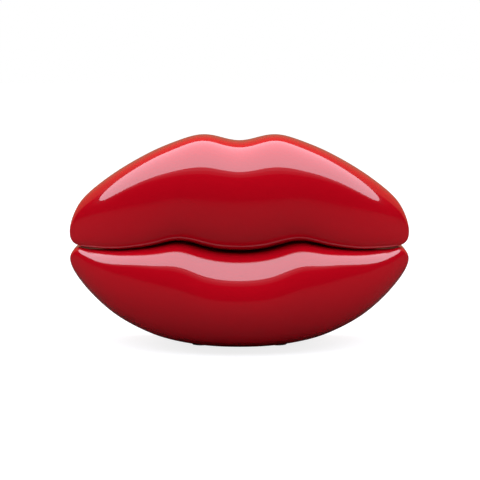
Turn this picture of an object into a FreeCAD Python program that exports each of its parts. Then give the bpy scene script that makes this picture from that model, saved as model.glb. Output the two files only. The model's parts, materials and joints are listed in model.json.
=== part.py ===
import FreeCAD, Part
import math
import os
from FreeCAD import Vector

# A telephone in the shape of a pair of lips.
#
# The lower lip is the base and stands on the desk on a low plinth. The upper lip is the handset: it rests
# in a cradle inside the mouth and lifts straight off, and the keypad lies under it.
# X runs along the mouth, -Y is the front and +Z is up. The desk is z = 0. Millimetres.

# overall
phone_width = 219.8
phone_depth = 88.0
phone_height = 138.1            # top of the two peaks of the upper lip
mouth_height = 65.0             # line between the lips, at the middle
mouth_wave = 6.9                # rise of the two crests of that line
lip_clearance = 0.9             # lowest point of the lower lip above the desk
upper_lip_set_back = 6.0        # the upper lip's fullest point lies this far behind the lower lip's
corner_set_back = 52.0          # corners of the mouth, behind the lower lip's fullest point
back_rounding = 4.0             # how far the round backs of the lips would pass the flat rear covers
slit_gap = 1.5                  # open slit in the middle of the mouth
flank_gap = 0.8                 # where the lips all but touch

# shells and covers
lip_wall = 2.6
rear_cover_thickness = 3.0
cover_rim_depth = 3.5
cover_rim_wall = 1.6
fit_gap = 0.15                  # between pieces that are fixed together
sliding_gap = 0.25              # round a piece that slides

# mouth recess and the cradle in it
recess_length = 176.0
recess_width = 44.0
recess_rear_margin = 7.0        # recess in front of the rear covers
recess_corner = 16.0
recess_flange = 3.0             # wall of the deck and of the face plate round the recess
floor_thickness = 2.5
deck_drop = 5.2                 # deck below the line between the lips
plate_rise = 4.0                # handset's face plate above the deck
plate_side_gap = 0.8
flange_height = 13.0            # top of the face plate's wall above the line between the lips
ear_to_mouth = 132.0
cap_radius = 18.5
cap_drop = 6.5                  # caps below the face plate
cap_wall = 1.8
well_side_gap = 1.4
pad_thickness = 1.6
pad_width = 7.0
seat_gap = 0.1                  # handset's caps above the cradle pads

# handset's inner pieces
capsule_radius = 15.8
capsule_height = 9.0
gasket_thickness = 0.8
gasket_width = 4.0
microphone_radius = 5.0
microphone_height = 5.0
boot_wall = 2.5
boot_floor = 1.5
boot_hole_radius = 1.25
ear_hole_radius = 1.1
ear_hole_rings = [(4.5, 6), (9.0, 12)]      # radius of each ring of holes, and how many it has
mouth_hole_radius = 0.9
mouth_hole_rings = [(3.5, 6)]
weight_length = 58.0
weight_width = 26.0
weight_thickness = 6.0
weight_chamfer = 1.0

# keypad
key_width = 10.0
key_depth = 7.6
key_pitch_x = 13.0
key_pitch_y = 10.0
key_height = 2.4                # above the deck
key_corner = 1.6
key_edge = 0.5
key_flange = 0.6
key_flange_thickness = 1.2
key_travel = 1.2
key_stem_radius = 1.8
side_key_width = 8.0
side_key_offset = 25.0          # redial and flash, left of the middle column
mat_thickness = 1.0
collar_wall = 1.2
board_thickness = 1.6
board_drop = 7.1                # key board's top below the deck's underside
board_margin = 1.5              # key board past the keys' flanges

# hook switch
plunger_x = 29.0
plunger_inset = 10.0            # plunger behind the main board's front edge
plunger_radius = 3.0
plunger_flange = 2.0
plunger_flange_thickness = 1.5
plunger_travel = 4.0
plunger_tip_gap = 0.2
plunger_stem_radius = 1.8
spring_wall = 0.8
hook_switch_size = 13.0
hook_switch_height = 6.0

# plinth
plinth_length = 84.0
plinth_width = 34.0
plinth_rear_margin = 4.0        # plinth in front of the rear cover
plinth_height = 13.0
plinth_corner = 9.0
plinth_wall = 2.2
foot_height = 3.6
foot_radius = 6.0
foot_sink = 1.0
foot_inset = 6.5                # foot centres inside the plinth's front and back
front_foot_spacing = 50.0
rear_foot_spacing = 70.0
ballast_thickness = 14.0
ballast_gap = 0.5
ballast_post_gap = 2.0

# posts and screws
post_radius = 3.5
screw_pad = 1.5                 # raised pad round each screw, inside a floor
deck_post_spacing = 72.0
screw_radius = 1.4
screw_head_radius = 2.8
screw_head_height = 1.8
screw_slot_width = 0.9
screw_slot_length = 3.6
screw_length = 12.0
head_gap = 0.2
thread_gap = 0.05
overrun = 1.0                   # cuts run this far past the faces that they open
board_post_radius = 3.5
board_post_spacing = 116.0
board_post_front_inset = 10.0   # inside the main board's front edge
board_post_back_inset = 6.0
key_post_radius = 1.75
key_post_left = 1.5             # key board's posts, in columns left and right of the middle one
key_post_right = 1.2
small_screw_radius = 1.0
small_head_radius = 1.9
small_head_height = 1.2
small_slot_width = 0.6
small_slot_length = 2.4
small_screw_length = 6.0
# Rear cover's screws on one side, as shares of half the width and of the lip's height.
handset_screw_shares = [(.71, .315), (.273, .698)]
base_screw_shares = [(.655, .61), (.419, .36)]

# boards, jacks and switches
main_board_height = 34.0
main_board_length = 128.0
main_board_width = 42.0
main_board_gap = 1.0            # main board in front of the switches
jack_width = 13.5
jack_height = 12.5
jack_depth = 16.0
socket_width = 9.8
socket_height = 7.2
socket_depth = 12.0
latch_width = 4.4
latch_height = 2.2
line_jack_x = 21.0
handset_jack_x = 60.0
handset_jack_gap = 1.75         # handset's jack above the face plate's wall
jack_gap = 0.15
switch_x = 50.0
switch_height = 33.0
switch_length = 14.0
switch_width = 7.0
switch_depth = 6.0
knob_length = 4.0
knob_height = 3.0
knob_throw = 4.0
knob_recess = 0.6
chip_x = -8.0                   # each component's inset is from the main board's front edge too
chip_inset = 10.0
chip_length = 22.0
chip_width = 7.0
chip_height = 4.0
transformer_x = 6.0
transformer_inset = 29.0
transformer_size = 18.0
transformer_height = 10.0
capacitor_x = -22.0
capacitor_inset = 32.0
capacitor_radius = 3.2
capacitor_spacing = 8.0
capacitor_height = 9.0
sounder_x = -50.0
sounder_inset = 21.0
sounder_radius = 10.0
sounder_hole_radius = 1.5
sounder_height = 6.0

# places that follow from the sizes above
half_width = phone_width / 2
front = -phone_depth / 2
back = phone_depth / 2
corner_y = front + corner_set_back
cover_front = back - rear_cover_thickness
recess_back = cover_front - recess_rear_margin
recess_front = recess_back - recess_width
recess_middle = (recess_front + recess_back) / 2
deck_top = mouth_height - deck_drop
deck_bottom = deck_top - floor_thickness
plate_bottom = deck_top + plate_rise
plate_top = plate_bottom + floor_thickness
cap_bottom = plate_bottom - cap_drop
cap_floor = cap_bottom + cap_wall
well_floor = cap_bottom - seat_gap - pad_thickness
well_radius = cap_radius + well_side_gap
ear_x = ear_to_mouth / 2
key_top = deck_top + key_height
key_flange_top = deck_bottom - fit_gap
key_flange_bottom = key_flange_top - key_flange_thickness
key_board_top = deck_bottom - board_drop
plinth_bottom = foot_height - foot_sink
plinth_floor = plinth_bottom + floor_thickness
plinth_back = cover_front - plinth_rear_margin
plinth_front = plinth_back - plinth_width
board_top = main_board_height + board_thickness
main_board_back = cover_front - switch_depth - main_board_gap
main_board_front = main_board_back - main_board_width
plunger_y = main_board_front + plunger_inset
very_large = 2 * (phone_width + phone_depth + phone_height)

# Outlines, as shares of half the width and of the lip's height. The last point is the corner of the mouth.
upper_outline_shares = [(0, .934), (.187, 1), (.35, .944), (.468, .874), (.584, .785), (.702, .679),
                        (.818, .555), (.9, .451), (.947, .367), (.976, .279), (1, .123)]
lower_outline_shares = [(0, 0), (.187, .011), (.35, .048), (.468, .095), (.584, .172), (.702, .273),
                        (.818, .417), (.9, .551), (.947, .651), (.976, .732), (1, .869)]
# Line between the lips, as shares of half the width and of the wave's height above the line's middle.
mouth_line_shares = [(0, 0), (.094, .07), (.187, .33), (.268, .74), (.35, 1), (.41, .84), (.468, .58),
                     (.584, .275), (.702, .03), (.819, -.015), (.91, -.015)]
upper_corner_shares = [(.96, .19), (.985, .46), (1, 1.3)]
lower_corner_shares = [(.955, -.03), (.983, -.46), (1, -1.22)]
tuck_height = 1.5               # the lower lip's top rises this far behind the upper lip's edge
slit_share = .36                # the open slit ends at this share of half the width
# Plan of the lips, as shares of half the width and of the way from the fullest point to the corner.
front_plan_shares = [(0, 0), (.273, .03), (.546, .18), (.728, .38), (.864, .62), (.946, .82), (1, 1)]
rear_plan_shares = [(0, 1), (.546, 1), (.819, .925), (.91, .75), (.965, .4), (1, 0)]
# Poles of the section through each lip, as shares of its depth from the front and of its height. Each
# section starts at the edge of the mouth, so that the surface's seam lies between the lips.
upper_section_shares = [(.128, .01), (.35, 0), (.91, 0), (1, .12), (1, .5), (1, .84), (.93, .95), (.7, .99),
                        (.44, 1.01), (.256, 1.01), (.134, .95), (.046, .79), (0, .58), (0, .34), (.035, .12)]
upper_end_shares = [(.1, -.01), (.3, .05), (.91, .06), (1, .12), (1, .5), (1, .84), (.93, .95), (.7, .99),
                    (.44, 1.01), (.23, 1.01), (.105, .95), (.023, .8), (0, .58), (0, .34), (.023, .1)]
lower_section_shares = [(.161, .955), (.058, .82), (0, .62), (.006, .4), (.08, .2), (.23, .06), (.484, -.02),
                        (.92, .06), (1, .2), (1, .5), (1, .9), (.92, 1), (.645, 1), (.46, 1), (.311, 1)]
lower_end_shares = [(.135, .935), (.046, .82), (0, .62), (.006, .4), (.08, .2), (.23, .06), (.484, -.02),
                    (.92, .06), (1, .2), (1, .5), (1, .9), (.92, 1), (.645, 1), (.46, 1), (.28, .98)]
station_count = 41
corner_angle = 88.5             # the corners end in a small flat here, where 90 would be a point
patch_count_round = 3           # each lip's skin is this many patches round and along
patch_count_along = 4


def ease(value, start, end):
    share = min(1.0, max(0.0, (value - start) / (end - start)))
    return share * share * (3 - 2 * share)


def even_curve(points):
    """A smooth curve through (share of half width, value), the same on both sides, read by angle."""
    angles = [math.asin(share) for share, value in points]
    values = [value for share, value in points]
    angles = [-angle for angle in reversed(angles[1:])] + angles
    values = list(reversed(values[1:])) + values
    curve = Part.BSplineCurve()
    points = [Vector(value, angle, 0) for value, angle in zip(values, angles)]
    curve.interpolate(Points=points, Parameters=angles)
    return lambda angle: curve.value(angle).x


def fill_unit_box(poles):
    """Scales the poles of a closed section so that the section itself, not its poles, fills 0 to 1."""
    curve = Part.BSplineCurve()
    curve.buildFromPoles([Vector(depth, height, 0) for depth, height in poles], True, 3)
    samples = [curve.value(curve.FirstParameter + share * (curve.LastParameter - curve.FirstParameter) / 400)
               for share in range(400)]
    depths = [point.x for point in samples]
    heights = [point.y for point in samples]
    depth_span = max(depths) - min(depths)
    height_span = max(heights) - min(heights)
    return [((depth - min(depths)) / depth_span, (height - min(heights)) / height_span)
            for depth, height in poles]


def patches_of(surface):
    """Cuts a surface into patches, which closed solids are cut and measured by more reliably."""
    def evenly(knots, count):
        return [knots[round(number * (len(knots) - 1) / count)] for number in range(count + 1)]

    round_cuts = evenly(surface.getUKnots(), patch_count_round)
    along_cuts = evenly(surface.getVKnots(), patch_count_along)
    patches = []
    for u0, u1 in zip(round_cuts, round_cuts[1:]):
        for v0, v1 in zip(along_cuts, along_cuts[1:]):
            patch = surface.copy()
            patch.segment(u0, u1, v0, v1)
            patches.append(patch.toShape())
    return patches


def lip_body(lip, inset=0.0):
    """A closed lip. The inset draws its whole surface inwards, for cavities and for what fits in them."""
    def tucked(share):
        return tuck_height * (ease(share, .27, .5) - ease(share, .73, .91))

    def gap_at(share):
        return slit_gap if share < slit_share else flank_gap

    def wave_height(height):
        return mouth_height + height * mouth_wave

    if lip == "upper":
        lip_front = front + upper_lip_set_back
        middle, end = fill_unit_box(upper_section_shares), fill_unit_box(upper_end_shares)
        rise = phone_height - mouth_height
        top = [(share, mouth_height + height * rise) for share, height in upper_outline_shares]
        bottom = [(share, wave_height(height) + gap_at(share) / 2)
                  for share, height in mouth_line_shares]
        bottom += [(share, wave_height(height)) for share, height in upper_corner_shares]
        bottom[-1] = (1, top[-1][1])
    else:
        lip_front = front
        middle, end = fill_unit_box(lower_section_shares), fill_unit_box(lower_end_shares)
        rise = mouth_height - lip_clearance
        bottom = [(share, lip_clearance + height * rise) for share, height in lower_outline_shares]
        top = [(share, wave_height(height) - gap_at(share) / 2 + tucked(share))
               for share, height in mouth_line_shares]
        top += [(share, wave_height(height)) for share, height in lower_corner_shares]
        top[-1] = (1, bottom[-1][1])
    front_line = even_curve([(share, lip_front + way * (corner_y - lip_front))
                             for share, way in front_plan_shares])
    rear_line = even_curve([(share, corner_y + way * (back + back_rounding - corner_y))
                            for share, way in rear_plan_shares])
    top_line, bottom_line = even_curve(top), even_curve(bottom)

    reach = math.radians(corner_angle)
    angles = [reach * (2 * number / (station_count - 1) - 1) for number in range(station_count)]
    rows = []
    for angle in angles:
        closeness = math.sin(min(1.0, 2.5 * abs(math.cos(angle))) * math.pi / 2)
        draw = inset * closeness
        x = (half_width - inset) * math.sin(angle)
        near, far = front_line(angle) + draw, rear_line(angle) - draw
        low, high = bottom_line(angle) + draw, top_line(angle) - draw
        blend = ease(abs(math.sin(angle)), .18, .68)
        row = []
        for (depth, height), (end_depth, end_height) in zip(middle, end):
            depth += (end_depth - depth) * blend
            height += (end_height - height) * blend
            row.append(Vector(x, near + depth * (far - near), low + height * (high - low)))
        rows.append(row)

    columns = []
    for number in range(len(middle)):
        column = Part.BSplineCurve()
        column.interpolate(Points=[row[number] for row in rows], Parameters=angles)
        columns.append(column)
    surface = Part.BSplineSurface()
    surface.buildFromPolesMultsKnots([column.getPoles() for column in columns], [1] * (len(columns) + 1),
                                     columns[0].getMultiplicities(), list(range(len(columns) + 1)),
                                     columns[0].getKnots(), True, False, 3, 3)
    patches = patches_of(surface)
    edges = [edge for patch in patches for edge in patch.Edges]
    faces = list(patches)
    for end_x in (rows[0][0].x, rows[-1][0].x):
        rim = [edge for edge in edges if abs(edge.BoundBox.XMin - end_x) + edge.BoundBox.XLength < fit_gap]
        faces.append(Part.Face(Part.Wire(Part.__sortEdges__(rim))))
    closed = Part.Shell(faces)
    closed.sewShape()
    solid = Part.Solid(closed)
    if solid.Volume < 0:
        solid.reverse()
    return solid


def block(x0, x1, y0, y1, z0, z1):
    return Part.makeBox(x1 - x0, y1 - y0, z1 - z0, Vector(x0, y0, z0))


def centred_block(x, y, length, width, z0, z1):
    return block(x - length / 2, x + length / 2, y - width / 2, y + width / 2, z0, z1)


def rounded_block(x0, x1, y0, y1, corner, z0, z1):
    body = block(x0, x1, y0, y1, z0, z1)
    upright = [edge for edge in body.Edges if edge.BoundBox.ZLength > (z1 - z0) / 2]
    return body.makeFillet(corner, upright)


def post(x, y, radius, z0, z1):
    return Part.makeCylinder(radius, z1 - z0, Vector(x, y, z0))


def rod_along_y(x, z, radius, y0, y1):
    return Part.makeCylinder(radius, y1 - y0, Vector(x, y0, z), Vector(0, 1, 0))


def joined(pieces):
    result = pieces[0]
    if len(pieces) > 1:
        result = result.fuse(pieces[1:])
    return result.removeSplitter()


def save(node, shape):
    solids = shape.Solids
    if not solids or not all(solid.isValid() for solid in solids):
        print("fault in", node, len(solids))
    result = solids[0] if len(solids) == 1 else Part.makeCompound(solids)
    result.exportStep("parts/" + node + ".step")
    print(node, len(solids), round(sum(solid.Volume for solid in solids)))


def screw(at, direction, radius, head_radius, head_height, length, slot_length, slot_width):
    """A screw with a crossed slot. The point is under its head, and the direction runs down its shank."""
    along = Vector(*direction)
    head_end = Vector(*at) - along * head_height
    head = Part.makeCylinder(head_radius, head_height, head_end, along)
    shank = Part.makeCylinder(radius, length, Vector(*at), along)
    slots = [centred_block(0, 0, slot_length, slot_width, 0, head_height / 2),
             centred_block(0, 0, slot_width, slot_length, 0, head_height / 2)]
    for slot in slots:
        slot.Placement = FreeCAD.Placement(head_end, FreeCAD.Rotation(Vector(0, 0, 1), along))
    return joined([head, shank]).cut(slots)


def large_screw(at, direction):
    return screw(at, direction, screw_radius, screw_head_radius, screw_head_height, screw_length,
                 screw_slot_length, screw_slot_width)


def small_screw(at, direction):
    return screw(at, direction, small_screw_radius, small_head_radius, small_head_height,
                 small_screw_length, small_slot_length, small_slot_width)


def cover_screw(x, z):
    return large_screw((x, back - screw_head_height, z), (0, -1, 0))


def cover_screw_hole(x, z):
    head = rod_along_y(x, z, screw_head_radius + head_gap, back - screw_head_height, back + overrun)
    shank = rod_along_y(x, z, screw_radius + thread_gap, back - screw_head_height - screw_length - overrun,
                        back)
    return head.fuse(shank)


def recess_block(margin, z0, z1):
    """The mouth recess's rounded plan, grown by a margin."""
    return rounded_block(-recess_length / 2 - margin, recess_length / 2 + margin, recess_front - margin,
                         recess_back + margin, recess_corner + margin, z0, z1)


def plinth_block(margin, z0, z1):
    return rounded_block(-plinth_length / 2 - margin, plinth_length / 2 + margin, plinth_front - margin,
                         plinth_back + margin, plinth_corner + margin, z0, z1)


def lip_filling(lip):
    """What fits inside a lip's shell."""
    return lip_body(lip, lip_wall + fit_gap)


def slice_of_depth(y0, y1):
    return block(-very_large, very_large, y0, y1, -very_large, very_large)


shell_space = slice_of_depth(-very_large, cover_front)
cover_space = slice_of_depth(cover_front, back)
rim_space = slice_of_depth(cover_front - cover_rim_depth, cover_front)

flange_top = mouth_height + flange_height
plate_screw_x = (weight_length / 2 + ear_x - cap_radius) / 2
jack_middle = main_board_height - jack_height / 2
handset_jack_height = flange_top + handset_jack_gap + jack_height / 2
handset_bosses = [(side * share * half_width, mouth_height + height * (phone_height - mouth_height))
                  for share, height in handset_screw_shares for side in (-1, 1)]
base_bosses = [(side * share * half_width, height * mouth_height)
               for share, height in base_screw_shares for side in (-1, 1)]
board_posts = [(side * board_post_spacing / 2, y) for side in (-1, 1)
               for y in (main_board_front + board_post_front_inset, main_board_back - board_post_back_inset)]
deck_posts = [(side * deck_post_spacing / 2, (plinth_front + plinth_back) / 2) for side in (-1, 1)]
feet = [(side * front_foot_spacing / 2, plinth_front + foot_inset) for side in (-1, 1)]
feet += [(side * rear_foot_spacing / 2, plinth_back - foot_inset) for side in (-1, 1)]


def handset_shell():
    shell = lip_body("upper").common(shell_space).cut(lip_body("upper", lip_wall))
    bosses = [rod_along_y(x, z, post_radius, front, cover_front) for x, z in handset_bosses]
    bosses += [post(side * plate_screw_x, recess_middle, post_radius, plate_top + screw_pad, phone_height)
               for side in (-1, 1)]
    shell = joined([shell] + [boss.common(lip_body("upper", lip_wall / 2)) for boss in bosses])
    shell = shell.cut(recess_block(fit_gap - plate_side_gap, 0, flange_top))
    cuts = [cover_screw_hole(x, z) for x, z in handset_bosses]
    cuts += [post(side * plate_screw_x, recess_middle, screw_radius + thread_gap, plate_bottom,
                  plate_top + screw_length) for side in (-1, 1)]
    return shell.cut(cuts)


def cover(lip, keep_out, bosses):
    plate = lip_body(lip).common(cover_space)
    rim = lip_filling(lip).common(rim_space).cut(lip_body(lip, lip_wall + fit_gap + cover_rim_wall))
    body = joined([plate, rim.cut(keep_out)])
    return body.cut([cover_screw_hole(x, z) for x, z in bosses])


def jack_block(x, z, margin=0.0):
    return block(x - jack_width / 2 - margin, x + jack_width / 2 + margin, back - jack_depth - margin,
                 back + margin, z - jack_height / 2 - margin, z + jack_height / 2 + margin)


def jack(x, z):
    """A modular jack: a plug socket with a notch for the plug's latch under it."""
    body = jack_block(x, z)
    socket = block(x - socket_width / 2, x + socket_width / 2, back - socket_depth, back + overrun,
                   z - socket_height / 2 + latch_height / 2, z + socket_height / 2 + latch_height / 2)
    notch = block(x - latch_width / 2, x + latch_width / 2, back - socket_depth, back + overrun,
                  z - socket_height / 2 - latch_height / 2, z)
    return body.cut([socket, notch])


def handset_cover():
    keep_out = recess_block(recess_flange + fit_gap, 0, flange_top + fit_gap)
    body = cover("upper", keep_out, handset_bosses)
    return body.cut(jack_block(handset_jack_x, handset_jack_height, jack_gap))


def sound_holes(x, radius, rings):
    places = [(x, recess_middle)]
    for ring_radius, count in rings:
        for number in range(count):
            angle = 2 * math.pi * number / count
            places.append((x + ring_radius * math.cos(angle), recess_middle + ring_radius * math.sin(angle)))
    return [post(hole_x, hole_y, radius, cap_bottom - overrun, cap_floor + overrun)
            for hole_x, hole_y in places]


def face_plate():
    wall = recess_block(-plate_side_gap, plate_bottom, flange_top)
    flange = recess_block(recess_flange - plate_side_gap, plate_bottom, flange_top)
    flange = flange.common(lip_filling("upper"))
    caps = [post(side * ear_x, recess_middle, cap_radius, cap_bottom, plate_top) for side in (-1, 1)]
    body = joined([wall, flange] + caps)
    body = body.cut(recess_block(-plate_side_gap - floor_thickness, plate_top, flange_top + overrun))
    wells = [post(side * ear_x, recess_middle, cap_radius - cap_wall, cap_floor, plate_top + overrun)
             for side in (-1, 1)]
    body = body.cut(wells)
    pads = [post(side * plate_screw_x, recess_middle, post_radius, plate_bottom, plate_top + screw_pad)
            for side in (-1, 1)]
    boot_radius = microphone_radius + boot_wall + fit_gap
    collar = post(ear_x, recess_middle, boot_radius + collar_wall, cap_bottom, cap_floor + boot_floor)
    collar = collar.cut(post(ear_x, recess_middle, boot_radius, cap_floor, cap_floor + boot_floor + overrun))
    body = joined([body, collar] + pads)
    cuts = sound_holes(-ear_x, ear_hole_radius, ear_hole_rings)
    cuts += sound_holes(ear_x, mouth_hole_radius, mouth_hole_rings)
    for x in (-plate_screw_x, plate_screw_x):
        cuts.append(post(x, recess_middle, screw_head_radius + head_gap, plate_bottom - overrun,
                         plate_bottom + screw_head_height))
        cuts.append(post(x, recess_middle, screw_radius + thread_gap, plate_bottom - overrun,
                         plate_top + screw_pad + overrun))
    return body.cut(cuts)


def handset_screws():
    screws = [cover_screw(x, z) for x, z in handset_bosses]
    screws += [large_screw((x, recess_middle, plate_bottom + screw_head_height), (0, 0, 1))
               for x in (-plate_screw_x, plate_screw_x)]
    return Part.makeCompound(screws)


def ring(x, y, outer, inner, z0, z1):
    return post(x, y, outer, z0, z1).cut(post(x, y, inner, z0 - overrun, z1 + overrun))


def save_handset():
    save("upper_lip_shell", handset_shell())
    save("handset_rear_cover", handset_cover())
    save("handset_face_plate", face_plate())
    save("handset_screws", handset_screws())
    gasket_top = cap_floor + gasket_thickness
    save("receiver_gasket", ring(-ear_x, recess_middle, capsule_radius, capsule_radius - gasket_width,
                                 cap_floor, gasket_top))
    magnet_radius = capsule_radius - gasket_width / 2
    capsule = [post(-ear_x, recess_middle, capsule_radius, gasket_top, gasket_top + capsule_height / 2),
               post(-ear_x, recess_middle, magnet_radius, gasket_top, gasket_top + capsule_height)]
    save("receiver_capsule", joined(capsule))
    boot_top = cap_floor + boot_floor + microphone_height
    boot = post(ear_x, recess_middle, microphone_radius + boot_wall, cap_floor, boot_top)
    boot = boot.cut(post(ear_x, recess_middle, microphone_radius + thread_gap, cap_floor + boot_floor,
                         boot_top + overrun))
    save("microphone_boot", boot.cut(post(ear_x, recess_middle, boot_hole_radius, cap_floor - overrun,
                                          boot_top)))
    save("microphone_capsule", post(ear_x, recess_middle, microphone_radius, cap_floor + boot_floor,
                                    boot_top))
    bar = centred_block(0, recess_middle, weight_length, weight_width, plate_top,
                        plate_top + weight_thickness)
    upper_edges = [edge for edge in bar.Edges if edge.BoundBox.ZMin > plate_top + weight_thickness / 2]
    save("handset_weight", bar.makeChamfer(weight_chamfer, upper_edges))
    save("handset_jack", jack(handset_jack_x, handset_jack_height))


def base_shell():
    shell = lip_body("lower").common(shell_space).cut(lip_body("lower", lip_wall))
    bosses = [rod_along_y(x, z, post_radius, front, cover_front) for x, z in base_bosses]
    bosses += [post(x, y, board_post_radius, 0, main_board_height) for x, y in board_posts]
    shell = joined([shell] + [boss.common(lip_body("lower", lip_wall / 2)) for boss in bosses])
    shell = shell.cut(recess_block(0, deck_bottom, very_large))
    shell = shell.cut(plinth_block(fit_gap, 0, plinth_bottom + plinth_height))
    cuts = [cover_screw_hole(x, z) for x, z in base_bosses]
    cuts += [post(x, y, small_screw_radius + thread_gap, main_board_height - small_screw_length, board_top)
             for x, y in board_posts]
    return shell.cut(cuts)


def switch_slot(x):
    """Room for a knob that slides along X."""
    half_length = (knob_throw + knob_length) / 2 + sliding_gap
    half_height = knob_height / 2 + sliding_gap
    return block(x - half_length, x + half_length, cover_front - switch_depth / 2 - sliding_gap,
                 back + overrun, switch_height - half_height, switch_height + half_height)


def switch_body(x):
    body = block(x - switch_length / 2, x + switch_length / 2, cover_front - switch_depth, cover_front,
                 switch_height - switch_width / 2, switch_height + switch_width / 2)
    return body.cut(switch_slot(x))


def switch_knob(x):
    """The knob rests at the left end of its slot."""
    left = x - (knob_throw + knob_length) / 2
    return block(left, left + knob_length, cover_front - switch_depth / 2, back - knob_recess,
                 switch_height - knob_height / 2, switch_height + knob_height / 2)


def base_cover():
    keep_out = recess_block(recess_flange + fit_gap, deck_bottom - fit_gap, very_large)
    keep_out = keep_out.fuse(plinth_block(fit_gap, 0, plinth_bottom + plinth_height + fit_gap))
    body = cover("lower", keep_out, base_bosses)
    cuts = [jack_block(side * line_jack_x, jack_middle, jack_gap) for side in (-1, 1)]
    cuts += [switch_slot(side * switch_x) for side in (-1, 1)]
    return body.cut(cuts)


def key_places():
    """Name, x, y and width of every key. The first row of digits is the furthest back."""
    names = [["1", "2", "3"], ["4", "5", "6"], ["7", "8", "9"], ["star", "0", "hash"]]
    rows = [recess_middle + (1.5 - row) * key_pitch_y for row in range(len(names))]
    places = []
    for y, digits in zip(rows, names):
        for column, digit in enumerate(digits):
            places.append(("key_" + digit, (column - 1) * key_pitch_x, y, key_width))
    for y, name in zip(rows[1:], ("redial", "flash")):
        places.append(("key_" + name, -side_key_offset, y, side_key_width))
    return places


def key_block(x, y, width, margin, z0, z1):
    return rounded_block(x - width / 2 - margin, x + width / 2 + margin, y - key_depth / 2 - margin,
                         y + key_depth / 2 + margin, key_corner + margin, z0, z1)


def key(x, y, width):
    cap = key_block(x, y, width, 0, key_flange_bottom, key_top)
    top_edges = [edge for edge in cap.Edges if edge.BoundBox.ZMin > key_top - key_edge / 2]
    cap = cap.makeFillet(key_edge, top_edges)
    flange = key_block(x, y, width, key_flange, key_flange_bottom, key_flange_top)
    stem = post(x, y, key_stem_radius, key_board_top + key_travel + fit_gap, key_flange_bottom)
    return joined([cap, flange, stem])


key_board_reach = 1.5 * key_pitch_y + key_depth / 2 + key_flange + key_post_radius
key_board_posts = [(x, recess_middle + side * key_board_reach)
                   for x in (-key_post_left * key_pitch_x, key_post_right * key_pitch_x) for side in (-1, 1)]
key_board_left = -side_key_offset - side_key_width / 2 - key_flange - board_margin
key_board_right = key_pitch_x + key_width / 2 + key_flange + board_margin


def cradle_deck():
    body = recess_block(recess_flange, deck_bottom, flange_top).common(lip_filling("lower"))
    body = body.cut(recess_block(0, deck_top, very_large))
    wells = [post(side * ear_x, recess_middle, well_radius + floor_thickness, well_floor - floor_thickness,
                  deck_top) for side in (-1, 1)]
    posts = [post(x, y, post_radius, plinth_floor + screw_pad, deck_top) for x, y in deck_posts]
    posts += [post(x, y, key_post_radius, key_board_top, deck_top) for x, y in key_board_posts]
    body = joined([body] + wells + posts)
    cuts = [post(x, recess_middle, well_radius, well_floor, deck_top + overrun) for x in (-ear_x, ear_x)]
    cuts += [key_block(x, y, width, sliding_gap, deck_bottom - overrun, deck_top + overrun)
             for name, x, y, width in key_places()]
    cuts.append(post(plunger_x, plunger_y, plunger_radius + sliding_gap, deck_bottom - overrun,
                     deck_top + overrun))
    cuts += [post(x, y, screw_radius + thread_gap, plinth_floor, plinth_floor + screw_length)
             for x, y in deck_posts]
    cuts += [post(x, y, small_screw_radius + thread_gap, key_board_top - board_thickness,
                  key_board_top - board_thickness + small_screw_length) for x, y in key_board_posts]
    return body.cut(cuts)


def bottom_cover():
    body = plinth_block(0, plinth_bottom, plinth_bottom + plinth_height)
    body = body.cut(plinth_block(-plinth_wall, plinth_floor, very_large))
    pads = [post(x, y, post_radius, plinth_bottom, plinth_floor + screw_pad) for x, y in deck_posts]
    body = joined([body] + pads)
    cuts = [post(x, y, foot_radius + fit_gap, 0, foot_height) for x, y in feet]
    for x, y in deck_posts:
        cuts.append(post(x, y, screw_head_radius + head_gap, 0, plinth_bottom + screw_head_height))
        cuts.append(post(x, y, screw_radius + thread_gap, 0, plinth_floor + screw_pad + overrun))
    return body.cut(cuts)


def base_screws():
    screws = [cover_screw(x, z) for x, z in base_bosses]
    screws += [large_screw((x, y, plinth_bottom + screw_head_height), (0, 0, 1)) for x, y in deck_posts]
    return Part.makeCompound(screws)


def board_screws():
    screws = [small_screw((x, y, board_top), (0, 0, -1)) for x, y in board_posts]
    screws += [small_screw((x, y, key_board_top - board_thickness), (0, 0, 1)) for x, y in key_board_posts]
    return Part.makeCompound(screws)


def key_board():
    reach = key_board_reach + small_head_radius
    body = block(key_board_left, key_board_right, recess_middle - reach, recess_middle + reach,
                 key_board_top - board_thickness, key_board_top)
    return body.cut([post(x, y, small_screw_radius + thread_gap, 0, very_large) for x, y in key_board_posts])


def key_mat():
    reach = key_board_reach - key_post_radius
    sheet = block(key_board_left, key_board_right, recess_middle - reach, recess_middle + reach,
                  key_board_top, key_board_top + mat_thickness)
    collar_top = key_flange_bottom - key_travel - fit_gap
    hole_radius = key_stem_radius + sliding_gap
    collars = []
    holes = []
    for name, x, y, width in key_places():
        collars.append(post(x, y, hole_radius + collar_wall, key_board_top, collar_top))
        holes.append(post(x, y, hole_radius, key_board_top - overrun, collar_top + overrun))
    return joined([sheet] + collars).cut(holes)


def main_board():
    body = block(-main_board_length / 2, main_board_length / 2, main_board_front, main_board_back,
                 main_board_height, board_top)
    holes = [post(x, y, post_radius + sliding_gap, 0, very_large) for x, y in deck_posts]
    holes += [post(x, y, small_screw_radius + thread_gap, 0, very_large) for x, y in board_posts]
    return body.cut(holes)


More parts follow.
